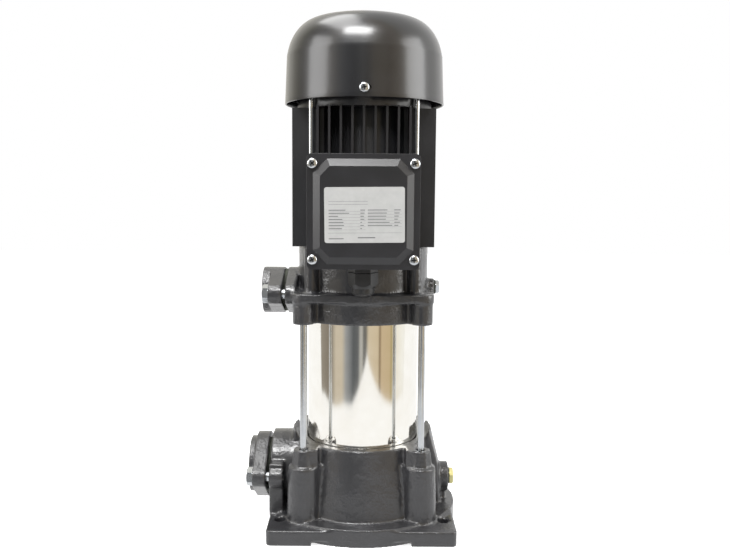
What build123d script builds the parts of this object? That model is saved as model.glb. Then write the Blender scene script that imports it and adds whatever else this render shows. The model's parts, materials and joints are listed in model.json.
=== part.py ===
"""Vertical multistage pump with a fan-cooled motor, in millimetres.

The origin is on the floor under the shaft axis, in the middle of the four foot
bolts. +Z goes up the shaft, both ports point to -X and the terminal box to -Y.
"""
from build123d import *
from math import cos, radians, sin
import os

os.makedirs("parts", exist_ok=True)

# ---- driving dimensions ----------------------------------------------------
# foot and base casting
foot_w, foot_d, foot_t = 194.0, 187.0, 16.0
foot_corner_r = 6.0
foot_gap = 5.0                    # height of the relief between the corner feet
pad_w, pad_d = 46.5, 34.0
rim_x, rim_y, rim_t = 102.5, 97.0, 18.5   # oval skirt round the barrel's foot, half widths and top
foot_pitch_x, foot_pitch_y, foot_hole_r = 170.0, 126.0, 5.5
base_h = 91.0
barrel_top_r, barrel_foot_r = 70.0, 81.5
sump_r, sump_floor_z = 49.0, 22.0
sleeve_socket = 9.0               # depth of the seat that takes an end of the outer sleeve
pillar_r, pillar_taper, ledge_z = 16.0, 1.5, 74.0
pillar_web, cap_web = 30.0, 20.0  # ribs between the barrel and the pillars, below and above the ledge
ear_top_r, ear_top_z, ear_mid_r, ear_mid_z = 75.3, 101.0, 85.5, 60.0   # raised walls at both X sides
ear_foot_r, ear_half_w = 88.0, 22.0
cap_af, cap_taper = 24.5, 7.0
nut_pocket_r, nut_pocket_h = 11.0, 14.0

# outer sleeve, its gaskets and the tie rods that clamp it
sleeve_r, sleeve_t = 60.0, 2.0
socket_clearance = 0.3
gasket_t = 2.0
head_z = 222.0                    # underside of the discharge head
rod_pitch, rod_r, rod_hole_r = 121.0, 3.75, 4.6
rod_nut_af, rod_nut_h, washer_t = 13.0, 6.5, 1.6
rod_thread = 15.0                 # depth of the rod's end in the head

# ports: oval companion flanges on two M10 bolts each
suction_z, suction_face_x = 55.0, -98.0
suction_neck_r, suction_oval_r, suction_hub_r, suction_thread_r = 38.5, 35.5, 30.5, 19.5
suction_plate_t, suction_hub_t = 14.5, 7.0
# the wall that carries the suction neck and its lugs: thickness, half width, rise over the axis
suction_lug_t, suction_wall_y, suction_wall_rise = 15.0, 49.0, 15.0
outlet_z, outlet_face_x = 250.0, -81.0
outlet_neck_r, outlet_oval_r, outlet_hub_r, outlet_thread_r = 22.5, 25.0, 25.0, 15.15
outlet_plate_t, outlet_hub_t, outlet_lug_t = 14.5, 9.0, 12.0
port_lug_r, suction_lug_y, outlet_lug_y = 11.0, 45.0, 40.0
port_bolt_r, port_hole_r, port_bolt_af, port_bolt_head_h = 5.0, 5.5, 17.0, 6.4
port_bolt_grip = 9.0              # thread length in the casting
port_gasket_t, port_relief = 3.0, 1.5   # the passage behind a flange is wider than its thread

# plugs
drain_z, drain_face_x, drain_boss_r = 42.0, 95.5, 16.0
plug_af, plug_head_h, plug_r, plug_len = 17.0, 4.4, 6.5, 11.0
plug_washer_t, plug_washer_r = 1.5, 9.0
vent_z, vent_boss_len, vent_boss_r = 254.0, 7.5, 9.5   # length: how far the boss stands out of the stool
vent_af, vent_head_h, vent_r = 13.0, 4.0, 5.0

# discharge head casting, with the motor stool on top
head_r, ring_r, ring_z, shoulder_z = 74.0, 75.0, 244.5, 253.5
stool_r, stool_t = 69.5, 7.5
lobe_r, lobe_web, lobe_step = 11.0, 17.0, 1.0   # the upper flange stands a step proud of the lobes
chamber_r, web_z, web_t = 52.0, 264.0, 7.0
bearing_hub_r, bearing_hub_h = 32.0, 20.0
motor_z = 300.0                   # seat of the motor frame
deck_t = 6.0
column_r, column_web = 7.5, 6.0

# stages
stage_count, stage_pitch = 4, 28.0
inlet_plate_t = 8.0
bowl_wall, bowl_floor = 3.0, 2.0
bowl_clearance = 0.3
neck_gap, neck_ring_t, neck_ring_h = 0.3, 2.7, 3.0
eye_r, eye_wall = 17.0, 3.0
impeller_r, shroud_t, vane_h, vane_t = 48.0, 1.5, 5.5, 2.0
impeller_lift, impeller_hub_r, impeller_hub_h = 4.0, 11.0, 10.0
impeller_vanes, return_vanes = 6, 7
diffuser_z, diffuser_t, diffuser_r, ledge_w = 15.5, 2.0, 47.0, 1.8

# shaft
pump_shaft_r, seal_shaft_r, rotor_shaft_r, fan_shaft_r = 6.5, 8.0, 13.0, 7.0
shaft_tail, seal_shoulder_z, shaft_top_z = 10.0, 224.0, 500.0   # tail: shaft end below the inlet plate
spacer_r, spacer_gap = 9.5, 0.4
bush_gap, bush_t = 0.05, 2.5
shaft_nut_af, shaft_nut_h = 19.0, 6.5

# mechanical seal
seal_r, seal_seat_r, seal_seat_h = 13.5, 15.0, 8.0
seal_ring_h, seal_film, seal_collar_h = 7.0, 0.05, 4.0
seal_wire_r, seal_turns = 0.9, 3

# ball bearings: bore radius, outside radius, width, ball radius
de_bore_r, de_outer_r, de_width, de_ball_r = 10.0, 23.5, 14.0, 3.97
nde_bore_r, nde_outer_r, nde_width, nde_ball_r = 8.5, 20.0, 12.0, 3.37
ball_count = 8
ball_gap = 0.08
de_lip = 2.0                      # shoulder left under the drive-end bearing

# motor
frame_h, frame_r, frame_bore_r = 140.5, 60.0, 55.0
fin_t, fin_count, fin_pitch, fin_side_pitch = 2.2, 9, 11.4, 10.8
fin_tip_x, fin_tip_y = 73.0, 71.0
motor_rod_pitch, motor_rod_r = 106.0, 2.5
motor_nut_af, motor_nut_h = 8.0, 4.0
stator_z, stator_h, air_gap = 327.0, 88.0, 0.35
rotor_r = 29.3
winding_in_r, winding_out_r, winding_h = 33.0, 51.0, 18.0
end_ring_r, end_ring_h = 27.0, 9.0
slinger_r, slinger_t = 20.0, 3.0

# non-drive end shield, fan and cover
shield_t, shield_r, shield_ear_r, shield_arm_t = 9.0, 71.0, 7.0, 6.0
shield_hub_r, shield_roof = 27.0, 3.5
wave_spring_h = 1.5
cover_z, cover_t, cover_clearance = 447.5, 1.5, 2.04668   # clearance from the rods' ears to the outside
cover_waist_in, cover_waist_z = 2.0, 495.0          # each in: how far inside of the rim
cover_shoulder_in, cover_shoulder_z = 9.4, 519.5
cover_deck_in, cover_deck_z = 27.0, 535.5
cover_top_z = 539.5
grille_in_r, grille_pitch, grille_slot, grille_rings, grille_spokes = 12.0, 8.6, 5.2, 5, 6
grille_spoke_w = 5.0
cover_screw_z, cover_boss_w, cover_screws = 456.0, 14.0, 3
screw_r, screw_head_r, screw_head_h, screw_len = 2.5, 5.0, 3.0, 10.0
fan_z, fan_r, fan_disc_t, fan_blade_h, fan_blade_t, fan_blades = 466.0, 66.0, 2.5, 26.0, 2.4, 6
fan_hub_r, fan_hub_h = 13.0, 30.0
clip_t, clip_r = 1.2, 11.0

# terminal box
box_z, box_w, box_h, box_corner_r = 337.0, 104.0, 106.0, 5.0
box_back_y, box_depth, box_wall = -70.5, 26.0, 2.5
lid_lip, lid_plate_t, lid_depth, lid_gasket_t = 2.0, 7.5, 4.5, 2.0
lid_panel_w, lid_panel_h, lid_panel_cut, lid_bevel = 96.0, 100.0, 13.5, 7.0
lid_screw_x, lid_screw_z = 97.0, 91.0
frame_pad_w, frame_pad_h = 70.0, 70.0
wire_hole_r = 12.0
box_boss_r = 5.5
board_w, board_h, board_t = 46.0, 26.0, 5.0
stud_r, stud_len, stud_pitch = 2.0, 11.0, 14.0
capacitor_r, capacitor_len, capacitor_drop = 15.5, 62.0, 12.0
gland_y, gland_af, gland_flange_h, gland_barrel_r, gland_body_h = -85.0, 26.0, 6.0, 10.4, 12.0
gland_gap, gland_nut_h, gland_crown_r, gland_crown_h, gland_mouth_r = 0.5, 15.5, 11.4, 7.5, 7.0
gland_bore_r, gland_hole_r, gland_seal_h = 7.9, 5.5, 14.0
gland_thread_r, gland_locknut_h, gland_locknut_af = 9.0, 4.0, 22.0

# ---- places worked out from the dimensions ----------------------------------
sleeve_bottom_z = base_h - sleeve_socket + gasket_t
shaft_bottom_z = sleeve_bottom_z - shaft_tail
sleeve_top_z = head_z + sleeve_socket - gasket_t
stack_z = sleeve_bottom_z + inlet_plate_t
stack_top_z = stack_z + stage_count * stage_pitch
bowl_r = sleeve_r - sleeve_t - bowl_clearance
de_bearing_z = motor_z - de_width
frame_top_z = motor_z + frame_h
nde_bearing_z = frame_top_z
shield_top_z = frame_top_z + shield_t
rod_seat_z = shield_top_z + shield_arm_t
motor_rod_reach = motor_rod_pitch / 2 * 2 ** 0.5
vent_face_x = stool_r + vent_boss_len
cover_rim_r = motor_rod_reach + shield_ear_r + cover_clearance
cover_waist_r = cover_rim_r - cover_waist_in
cover_shoulder_r = cover_rim_r - cover_shoulder_in
cover_deck_r = cover_rim_r - cover_deck_in
lid_w = box_w + 2 * lid_lip
lid_h = box_h + 2 * lid_lip
lid_back_y = box_back_y - box_depth - lid_gasket_t
lid_face_y = lid_back_y - lid_plate_t
box_floor_z = box_z - box_h / 2
gland_collar_z = box_floor_z - gland_flange_h
CORNERS = [(x, y) for x in (-1, 1) for y in (-1, 1)]
UP = (Align.CENTER, Align.CENTER, Align.MIN)


# ---- shared shapes ------------------------------------------------------------
def disc(r, z0, z1, x=0.0, y=0.0):
    """Cylinder along Z between two heights."""
    return Pos(x, y, z0) * Cylinder(r, z1 - z0, align=UP)


def ring(r_out, r_in, z0, z1, x=0.0, y=0.0):
    return disc(r_out, z0, z1, x, y) - disc(r_in, z0, z1, x, y)


def bar_x(r, x0, x1, y, z):
    """Cylinder along X between two places."""
    return Pos(x0, y, z) * Rot(0, 90, 0) * Cylinder(r, x1 - x0, align=UP)


def bar_y(r, y0, y1, x, z):
    """Cylinder along Y between two places."""
    return Pos(x, y0, z) * Rot(-90, 0, 0) * Cylinder(r, y1 - y0, align=UP)


def block(x0, x1, y0, y1, z0, z1):
    return Pos((x0 + x1) / 2, (y0 + y1) / 2, (z0 + z1) / 2) * Box(x1 - x0, y1 - y0, z1 - z0)


def turned(*points):
    """Solid of revolution about Z from a closed outline of (radius, height) points."""
    outline = Polyline(*[(r, 0, z) for r, z in points], close=True)
    return revolve(make_face(outline), Axis.Z)


def hex_z(across_flats, z0, z1, x=0.0, y=0.0):
    face = RegularPolygon(across_flats / 2, 6, major_radius=False)
    return Pos(x, y, z0) * extrude(face, z1 - z0)


def hex_x(across_flats, x0, x1, y, z):
    face = RegularPolygon(across_flats / 2, 6, major_radius=False)
    return Pos(x0, y, z) * Rot(0, 90, 0) * extrude(face, x1 - x0)


def at_corners(shape, pitch_x, pitch_y=None):
    """Copies of a shape at the four corners of a rectangle about the axis."""
    pitch_y = pitch_y or pitch_x
    return [Pos(x * pitch_x / 2, y * pitch_y / 2, 0) * shape for x, y in CORNERS]


def polar(r, degrees):
    return (r * cos(radians(degrees)), r * sin(radians(degrees)))


def around(shape, count, start=0.0):
    return [Rot(0, 0, start + 360 * i / count) * shape for i in range(count)]


def oval(r, lug_y):
    """Two-bolt flange outline: a round middle drawn out to two round lugs."""
    lugs = [Pos(0, y) * Circle(port_lug_r) for y in (-lug_y, lug_y)]
    edges = (Sketch() + [Circle(r), *lugs]).edges()
    return make_hull(edges)


def oval_plate(x0, x1, z, r, lug_y):
    """The two-bolt outline as a plate across X, with its lugs along Y."""
    plane = Plane(origin=(x0, 0, z), x_dir=(0, 0, -1), z_dir=(1, 0, 0))
    return plane * extrude(oval(r, lug_y), x1 - x0)


# ---- base -----------------------------------------------------------------------
def base_pillar():
    """Corner pillar round a tie rod: a tapered column with a faceted cap."""
    column = Pos(0, 0, foot_t) * Cone(pillar_r + pillar_taper, pillar_r, ledge_z - foot_t, align=UP)
    cap = Pos(0, 0, ledge_z) * extrude(
        RegularPolygon(cap_af / 2, 8, major_radius=False, rotation=22.5), base_h - ledge_z, taper=cap_taper)
    return column + cap


def side_ears():
    """Walls at the two X sides that rise above the barrel to a thin edge."""
    wall = turned((sleeve_r, foot_t), (ear_foot_r, foot_t), (ear_mid_r, ear_mid_z), (ear_top_r, ear_top_z),
                  (barrel_top_r, base_h - 2), (sleeve_r, base_h - 2))
    return wall & block(-ear_foot_r, ear_foot_r, -ear_half_w, ear_half_w, foot_t, ear_top_z)


def base_casting():
    plate = extrude(RectangleRounded(foot_w, foot_d, foot_corner_r), foot_t)
    plate -= block(-foot_w, foot_w, pad_d - foot_d / 2, foot_d / 2 - pad_d, 0, foot_gap)
    plate -= block(pad_w - foot_w / 2, foot_w / 2 - pad_w, -foot_d, foot_d, 0, foot_gap)
    body = plate + extrude(Ellipse(rim_x, rim_y), rim_t)
    barrel = Cone(barrel_foot_r, barrel_top_r, base_h - foot_t, align=UP)
    body += Pos(0, 0, foot_t) * barrel
    body += at_corners(base_pillar(), rod_pitch)
    reach = rod_pitch / 2 * 2 ** 0.5
    body += around(block(0, reach, -pillar_web / 2, pillar_web / 2, foot_t, ledge_z), 4, 45)
    body += around(block(0, reach, -cap_web / 2, cap_web / 2, ledge_z, base_h), 4, 45)
    body += side_ears()

    # suction neck, its lugs and the wall that carries them down to the foot
    inner_x = suction_face_x + suction_lug_t
    body += bar_x(suction_neck_r, suction_face_x, 0, 0, suction_z)
    wall_top_z = suction_z + suction_wall_rise
    body += block(suction_face_x, inner_x, -suction_wall_y, suction_wall_y, foot_t, wall_top_z)
    for y in (-suction_lug_y, suction_lug_y):
        body += bar_x(port_lug_r, suction_face_x, inner_x, y, suction_z)

    # drain boss with its web
    body += bar_x(drain_boss_r, 0, drain_face_x, 0, drain_z)
    body += block(0, drain_face_x - 3, -drain_boss_r / 2, drain_boss_r / 2, foot_t, drain_z)

    # sump, sleeve seat and ports
    body -= disc(sump_r, sump_floor_z, base_h)
    body -= disc(sleeve_r + socket_clearance, base_h - sleeve_socket, suction_z + 2 * suction_neck_r)
    body -= bar_x(suction_thread_r + port_relief, suction_face_x, 0, 0, suction_z)
    body -= bar_x(plug_r, sump_r / 2, drain_face_x, 0, drain_z)
    for y in (-suction_lug_y, suction_lug_y):
        body -= bar_x(port_bolt_r, suction_face_x, inner_x, y, suction_z)

    # tie rods come up through the pillars from pockets under the foot
    body -= at_corners(disc(rod_hole_r, 0, base_h), rod_pitch)
    body -= at_corners(disc(nut_pocket_r, 0, nut_pocket_h), rod_pitch)
    body -= at_corners(disc(foot_hole_r, 0, foot_t), foot_pitch_x, foot_pitch_y)
    return body


# ---- ports ------------------------------------------------------------------------
def companion_flange(face_x, z, oval_r, hub_r, thread_r, plate_t, hub_t, lug_y):
    """Loose threaded flange in front of a casting face, with its gasket between."""
    x0 = face_x - port_gasket_t
    body = oval_plate(x0 - plate_t, x0, z, oval_r, lug_y)
    body += bar_x(hub_r, x0 - plate_t - hub_t, x0, 0, z)
    body -= bar_x(thread_r, x0 - plate_t - hub_t, x0, 0, z)
    for y in (-lug_y, lug_y):
        body -= bar_x(port_hole_r, x0 - plate_t, x0, y, z)
    return body


def port_gasket(face_x, z, thread_r, hub_r):
    return (bar_x(hub_r - 2, face_x - port_gasket_t, face_x, 0, z)
            - bar_x(thread_r + port_relief, face_x - port_gasket_t, face_x, 0, z))


def port_bolts(face_x, z, plate_t, lug_y):
    """Hexagon head bolts that hold a companion flange."""
    seat = face_x - port_gasket_t - plate_t
    return [hex_x(port_bolt_af, seat - port_bolt_head_h, seat, y, z)
            + bar_x(port_bolt_r, seat, face_x + port_bolt_grip, y, z)
            for y in (-lug_y, lug_y)]


def hex_plug(face_x, z, across_flats, head_h, shank_r):
    """Hexagon plug along X that screws into a boss from the +X side."""
    seat = face_x + plug_washer_t
    return (hex_x(across_flats, seat, seat + head_h, 0, z)
            + bar_x(shank_r, face_x - plug_len, seat, 0, z))


def plug_washer(face_x, z, r, shank_r):
    return (bar_x(r, face_x, face_x + plug_washer_t, 0, z)
            - bar_x(shank_r, face_x, face_x + plug_washer_t, 0, z))


# ---- sleeve and tie rods -------------------------------------------------------------
def tie_rod():
    return disc(rod_r, nut_pocket_h - washer_t - rod_nut_h - 2, head_z + rod_thread)


def rod_nut():
    top = nut_pocket_h - washer_t
    return hex_z(rod_nut_af, top - rod_nut_h, top) - disc(rod_r, top - rod_nut_h, top)


def rod_washer():
    return ring(nut_pocket_r - 2.5, rod_r, nut_pocket_h - washer_t, nut_pocket_h)


# ---- discharge head ----------------------------------------------------------------------
def head_flange():
    """Upper flange outline: the ring drawn out to a lobe at each tie rod."""
    lobes = [Pos(x * rod_pitch / 2, y * rod_pitch / 2) * Circle(lobe_r + lobe_step) for x, y in CORNERS]
    return make_hull((Sketch() + [Circle(ring_r), *lobes]).edges())


def discharge_head():
    body = disc(head_r, head_z, ring_z) + Pos(0, 0, ring_z) * extrude(head_flange(), shoulder_z - ring_z)
    body += disc(stool_r, shoulder_z, motor_z)
    web = block(0, rod_pitch / 2 * 2 ** 0.5, -lobe_web / 2, lobe_web / 2, head_z, ring_z)
    body += around(web, 4, 45) + at_corners(disc(lobe_r, head_z, ring_z), rod_pitch)
    body += at_corners(disc(column_r, shoulder_z - 4, motor_z), motor_rod_pitch)
    column_rib = block(0, motor_rod_reach, -column_web / 2, column_web / 2, shoulder_z, motor_z)
    body += around(column_rib, 4, 45)

    # outlet neck with its two lugs, and the boss of the vent plug
    inner_x = outlet_face_x + outlet_lug_t
    body += bar_x(outlet_neck_r, outlet_face_x + 2, 0, 0, outlet_z)
    body += oval_plate(outlet_face_x, inner_x, outlet_z, outlet_oval_r, outlet_lug_y)
    body += bar_x(vent_boss_r, 0, vent_face_x, 0, vent_z)

    # pump chamber below the web, dry space above it
    hub_z = motor_z - bearing_hub_h
    body -= disc(sleeve_r + socket_clearance, head_z, head_z + sleeve_socket)
    body -= disc(chamber_r, head_z, web_z)
    dry = disc(stool_r - stool_t, web_z + web_t, motor_z - deck_t)
    body -= dry - disc(bearing_hub_r, hub_z, motor_z)
    body -= disc(seal_seat_r, web_z - 1, web_z + web_t - 1)
    body -= disc(seal_shaft_r + 1.5, web_z, motor_z)
    body -= disc(de_outer_r, de_bearing_z, motor_z)
    body -= disc(de_outer_r - 3, hub_z + de_lip, de_bearing_z)

    # ports and threads
    body -= bar_x(outlet_thread_r + port_relief, outlet_face_x, 0, 0, outlet_z)
    body -= bar_x(vent_r, chamber_r / 2, vent_face_x, 0, vent_z)
    for y in (-outlet_lug_y, outlet_lug_y):
        body -= bar_x(port_bolt_r, outlet_face_x, inner_x, y, outlet_z)
    body -= at_corners(disc(rod_r, head_z, head_z + rod_thread), rod_pitch)
    body -= at_corners(disc(motor_rod_r, motor_z - 25, motor_z), motor_rod_pitch)
    return body


# ---- stages ---------------------------------------------------------------------------------
def vane(points, height):
    """Curved blade of even thickness through three (radius, angle) points."""
    line = ThreePointArc(*[polar(r, a) for r, a in points])
    return extrude(trace(line, vane_t), height)


def inlet_plate():
    """Spider that carries the lower bush and the first bowl."""
    z1 = sleeve_bottom_z + inlet_plate_t
    hub_r = spacer_r + bush_gap + bush_t
    plate = ring(bowl_r, bowl_r - 6, sleeve_bottom_z, z1) + ring(hub_r + 3, hub_r, sleeve_bottom_z, z1)
    arm = block(hub_r + 1, bowl_r - 3, -3, 3, sleeve_bottom_z, z1)
    return plate + around(arm, 3, 90)


def bowl(z0):
    """Stage chamber: a cup with a floor, a ledge for the diffuser and a seat for the neck ring."""
    seat_r = eye_r + eye_wall + neck_gap + neck_ring_t
    inner = bowl_r - bowl_wall
    top = z0 + stage_pitch
    return turned((seat_r, z0), (bowl_r, z0), (bowl_r, top), (inner, top), (inner, z0 + diffuser_z),
                  (inner - ledge_w, z0 + diffuser_z), (inner - ledge_w, z0 + bowl_floor),
                  (seat_r, z0 + bowl_floor))


def neck_ring(z0):
    r = eye_r + eye_wall + neck_gap
    return ring(r + neck_ring_t, r, z0, z0 + neck_ring_h)


def impeller(z0):
    """Closed impeller: two shrouds, backward-curved vanes, an eye collar and a hub."""
    z1 = z0 + impeller_lift
    z2 = z1 + shroud_t
    z3 = z2 + vane_h
    eye = ring(eye_r + eye_wall, eye_r, z0 + 0.5, z2)
    lower = ring(impeller_r, eye_r, z1, z2)
    upper = disc(impeller_r, z3, z3 + shroud_t)
    hub = disc(impeller_hub_r, z1, z1 + impeller_hub_h)
    blade = vane(((impeller_hub_r + 6, 0), (impeller_r * 0.66, -28), (impeller_r - 1, -72)), vane_h)
    wheel = eye + lower + upper + hub + around(Pos(0, 0, z2) * blade, impeller_vanes)
    return wheel - disc(pump_shaft_r, z0, z1 + impeller_hub_h)


def diffuser(z0):
    """Disc over the impeller whose return vanes lead the flow in to the next eye."""
    hub_r = spacer_r + spacer_gap
    inner = bowl_r - bowl_wall
    blade = vane(((eye_r + 6, 0), (inner * 0.68, 22), (inner - 0.6, 62)), stage_pitch - diffuser_z)
    body = disc(diffuser_r, z0 + diffuser_z, z0 + diffuser_z + diffuser_t)
    body += around(Pos(0, 0, z0 + diffuser_z) * blade, return_vanes)
    body &= disc(inner, z0 + diffuser_z, z0 + stage_pitch)
    return body - disc(hub_r, z0, z0 + stage_pitch)


def shaft_spacers():
    """Sleeves that space the wheels along the shaft, from the lower bush to the shoulder."""
    hub0 = stack_z + impeller_lift
    spans = [(shaft_bottom_z + shaft_nut_h + washer_t + 0.5, hub0)]
    for i in range(stage_count):
        start = hub0 + i * stage_pitch + impeller_hub_h
        end = hub0 + (i + 1) * stage_pitch if i < stage_count - 1 else seal_shoulder_z
        spans.append((start, end))
    return [ring(spacer_r, pump_shaft_r, a, b) for a, b in spans]


# ---- shaft and seal ----------------------------------------------------------------------------
def shaft():
    steps = ((pump_shaft_r, shaft_bottom_z, seal_shoulder_z),
             (seal_shaft_r, seal_shoulder_z, de_bearing_z - 3),
             (de_bore_r, de_bearing_z - 3, motor_z + 3),
             (rotor_shaft_r, motor_z + 3, nde_bearing_z - 2),
             (nde_bore_r, nde_bearing_z - 2, nde_bearing_z + nde_width + 1),
             (fan_shaft_r, nde_bearing_z + nde_width + 1, shaft_top_z))
    outline = [(0, shaft_bottom_z)]
    for r, z0, z1 in steps:
        outline += [(r, z0), (r, z1)]
    return turned(*outline, (0, shaft_top_z))


def shaft_nut():
    z0 = shaft_bottom_z + 0.5
    return hex_z(shaft_nut_af, z0, z0 + shaft_nut_h) - disc(pump_shaft_r, z0, z0 + shaft_nut_h)


def shaft_washer():
    z0 = shaft_bottom_z + 0.5 + shaft_nut_h
    return ring(spacer_r, pump_shaft_r, z0, z0 + washer_t)


def seal_seat():
    z0 = web_z - 1 - (seal_seat_h - web_t)
    return ring(seal_seat_r, seal_shaft_r + 1, z0, z0 + seal_seat_h)


def seal_face():
    z1 = web_z - 1 - (seal_seat_h - web_t) - seal_film
    return ring(seal_r, seal_shaft_r, z1 - seal_ring_h, z1)


def seal_collar():
    return ring(seal_r, seal_shaft_r, seal_shoulder_z + 2, seal_shoulder_z + 2 + seal_collar_h)


def seal_spring():
    """Coil spring that presses the turning seal face against its seat."""
    z0 = seal_shoulder_z + 2 + seal_collar_h + seal_wire_r
    z1 = web_z - 1 - (seal_seat_h - web_t) - seal_film - seal_ring_h - seal_wire_r
    r = seal_r - seal_wire_r - 0.3
    path = Helix((z1 - z0) / seal_turns, z1 - z0, r)
    wire = sweep(Plane(origin=path @ 0, z_dir=path % 0) * Circle(seal_wire_r), path=path)
    return Pos(0, 0, z0) * wire


# ---- bearings -------------------------------------------------------------------------------------
def race_ring(r_out, r_in, z0, width, pitch_r, ball_r):
    """Bearing ring with a ball groove about its middle height."""
    groove = Pos(0, 0, z0 + width / 2) * Torus(pitch_r, ball_r + ball_gap)
    return ring(r_out, r_in, z0, z0 + width) - groove


def bearing(bore_r, outer_r, width, ball_r, z0):
    """Inner ring, outer ring and balls of a deep-groove bearing."""
    pitch_r = (bore_r + outer_r) / 2
    land = ball_r * 0.55
    inner = race_ring(pitch_r - land, bore_r, z0, width, pitch_r, ball_r)
    outer = race_ring(outer_r, pitch_r + land, z0, width, pitch_r, ball_r)
    ball = Pos(pitch_r, 0, z0 + width / 2) * Sphere(ball_r)
    return inner, outer, around(ball, ball_count)


# ---- motor -----------------------------------------------------------------------------------------
def fin_set(pitch, tip):
    """Row of parallel fins on the -Y side of the frame."""
    fins = []
    for i in range(fin_count):
        x = (i - (fin_count - 1) / 2) * pitch
        fins.append(block(x - fin_t / 2, x + fin_t / 2, -tip, -(frame_bore_r + frame_r) / 4,
                          motor_z, frame_top_z))
    return fins


def motor_frame():
    """Extruded finned barrel with a flat pad for the terminal box."""
    body = disc(frame_r, motor_z, frame_top_z)
    for turn, pitch, tip in ((0, fin_pitch, fin_tip_y), (180, fin_pitch, fin_tip_y),
                             (90, fin_side_pitch, fin_tip_x), (-90, fin_side_pitch, fin_tip_x)):
        body += [Rot(0, 0, turn) * fin for fin in fin_set(pitch, tip)]
    clear = 1.0
    body -= block(-box_w / 2 - clear, box_w / 2 + clear, -fin_tip_x, box_back_y,
                  box_z - box_h / 2 - clear, box_z + box_h / 2 + clear)
    body += block(-frame_pad_w / 2, frame_pad_w / 2, box_back_y, -frame_bore_r / 2,
                  box_z - frame_pad_h / 2, box_z + frame_pad_h / 2)
    body -= disc(frame_bore_r, motor_z, frame_top_z)
    return body - bar_y(wire_hole_r, box_back_y, 0, 0, box_z)


def stator_core():
    return ring(frame_bore_r, rotor_r + air_gap, stator_z, stator_z + stator_h)


def stator_windings():
    top = stator_z + stator_h
    return [ring(winding_out_r, winding_in_r, stator_z - winding_h, stator_z),
            ring(winding_out_r, winding_in_r, top, top + winding_h)]


def rotor_core():
    top = stator_z + stator_h
    body = ring(rotor_r, rotor_shaft_r, stator_z, top)
    body += ring(end_ring_r, rotor_shaft_r, stator_z - end_ring_h, stator_z)
    return body + ring(end_ring_r, rotor_shaft_r, top, top + end_ring_h)


def motor_tie_rod():
    return disc(motor_rod_r, motor_z - 24, rod_seat_z + motor_nut_h + 1.5)


def motor_rod_nut():
    z1 = rod_seat_z + motor_nut_h
    return hex_z(motor_nut_af, rod_seat_z, z1) - disc(motor_rod_r, rod_seat_z, z1)


def end_shield():
    """Upper end shield: bearing housing, ears for the tie rods and bosses for the fan cover."""
    hub_top = nde_bearing_z + nde_width + wave_spring_h + shield_roof
    body = disc(shield_r, frame_top_z, shield_top_z)
    body += disc(shield_hub_r, frame_top_z, hub_top)
    rod_arm = block(0, motor_rod_reach, -shield_ear_r, shield_ear_r, shield_top_z, rod_seat_z)
    body += around(rod_arm, 4, 45) + at_corners(disc(shield_ear_r, shield_top_z, rod_seat_z), motor_rod_pitch)
    reach = cover_inner_r(cover_screw_z + cover_boss_w / 2)
    arm = block(-cover_boss_w / 2, cover_boss_w / 2, -reach - 2, -shield_hub_r / 2,
                shield_top_z, cover_screw_z + cover_boss_w / 2)
    body += around(arm, cover_screws)
    body &= disc(reach, frame_top_z, hub_top + cover_boss_w)
    body -= disc(nde_outer_r, nde_bearing_z, hub_top - shield_roof)
    body -= disc(nde_bore_r + 1.5, nde_bearing_z, hub_top)
    body -= at_corners(disc(motor_rod_r, shield_top_z, rod_seat_z), motor_rod_pitch)
    return body - around(bar_y(screw_r, -reach, -reach + screw_len, 0, cover_screw_z), cover_screws)


# ---- fan and cover ----------------------------------------------------------------------------------
def cover_inner_r(z):
    """Inside radius of the cover's tapered skirt at a height."""
    share = (z - cover_z) / (cover_waist_z - cover_z)
    return cover_rim_r + (cover_waist_r - cover_rim_r) * share - cover_t


def fan():
    """Radial fan: a back disc with straight blades, so that it blows either way round."""
    body = disc(fan_r, fan_z, fan_z + fan_disc_t) + disc(fan_hub_r, fan_z, fan_z + fan_hub_h)
    blade = block(fan_hub_r - 1, fan_r - 1, -fan_blade_t / 2, fan_blade_t / 2,
                  fan_z + fan_disc_t, fan_z + fan_blade_h)
    body += around(blade, fan_blades)
    return body - disc(fan_shaft_r, fan_z, fan_z + fan_hub_h)


def fan_clip():
    z0 = fan_z + fan_hub_h
    return ring(clip_r, fan_shaft_r, z0, z0 + clip_t)


def cover_outline(inset):
    """Side of the cover from rim to crown, moved in by an inset, as edges."""
    rim = (cover_rim_r - inset, 0, cover_z)
    waist = (cover_waist_r - inset, 0, cover_waist_z)
    shoulder = (cover_shoulder_r - inset * 0.8, 0, cover_shoulder_z - inset * 0.5)
    deck = (cover_deck_r - inset * 0.4, 0, cover_deck_z - inset)
    crown = (0, 0, cover_top_z - inset)
    side = ThreePointArc(waist, shoulder, deck)
    return [Line(rim, waist), side, Line(deck, crown)]


def fan_cover():
    """Domed sheet cover with an air grille of arc slots in its top."""
    def filled(inset):
        edges = cover_outline(inset)
        top = (0, 0, cover_top_z - inset)
        foot = (0, 0, cover_z)
        rim = (cover_rim_r - inset, 0, cover_z)
        return revolve(make_face(Curve() + [*edges, Line(top, foot), Line(foot, rim)]), Axis.Z)

    body = filled(0) - filled(cover_t)
    z0 = cover_deck_z - 12
    slots = []
    for i in range(grille_rings):
        r = grille_in_r + i * grille_pitch
        slots.append(ring(r + grille_slot, r, z0, cover_top_z))
    spoke = block(0, cover_deck_r, -grille_spoke_w / 2, grille_spoke_w / 2, z0, cover_top_z)
    keep = Part() + around(spoke, grille_spokes, 30)
    body -= (Part() + slots) - keep
    hole = bar_y(screw_r, -cover_rim_r, -cover_rim_r + 2 * cover_t + 2, 0, cover_screw_z)
    return body - around(hole, cover_screws)


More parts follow.
